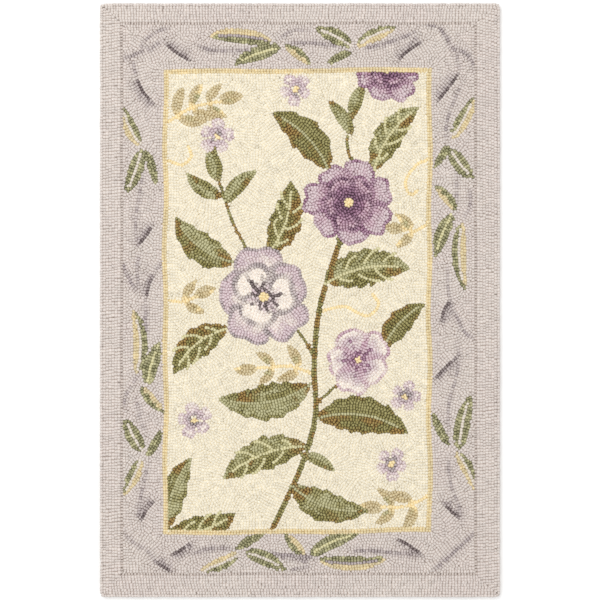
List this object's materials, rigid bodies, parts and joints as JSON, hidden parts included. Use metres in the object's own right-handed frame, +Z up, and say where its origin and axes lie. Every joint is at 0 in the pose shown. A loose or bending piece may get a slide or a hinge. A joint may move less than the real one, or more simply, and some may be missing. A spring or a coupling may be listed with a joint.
{
  "type": "hooked rug",
  "caption": "Small oblong hooked rug: flat foundation cloth covered with loops of dyed yarn in a plain outer band, a leafy border and a floral field.",
  "frame": {"origin": "on the floor, under the middle of the rug", "axes": "+Z up out of the pile, +Y along the rug's length towards the head of its design, +X across it"},
  "size_m": [0.508, 0.754, 0.0085],
  "materials": {
    "hooked_yarn": "matte",
    "foundation_cloth": "matte"
  },
  "bodies": {
    "root": {"hooked_rug": "hooked_yarn"}
  },
  "joints": []
}
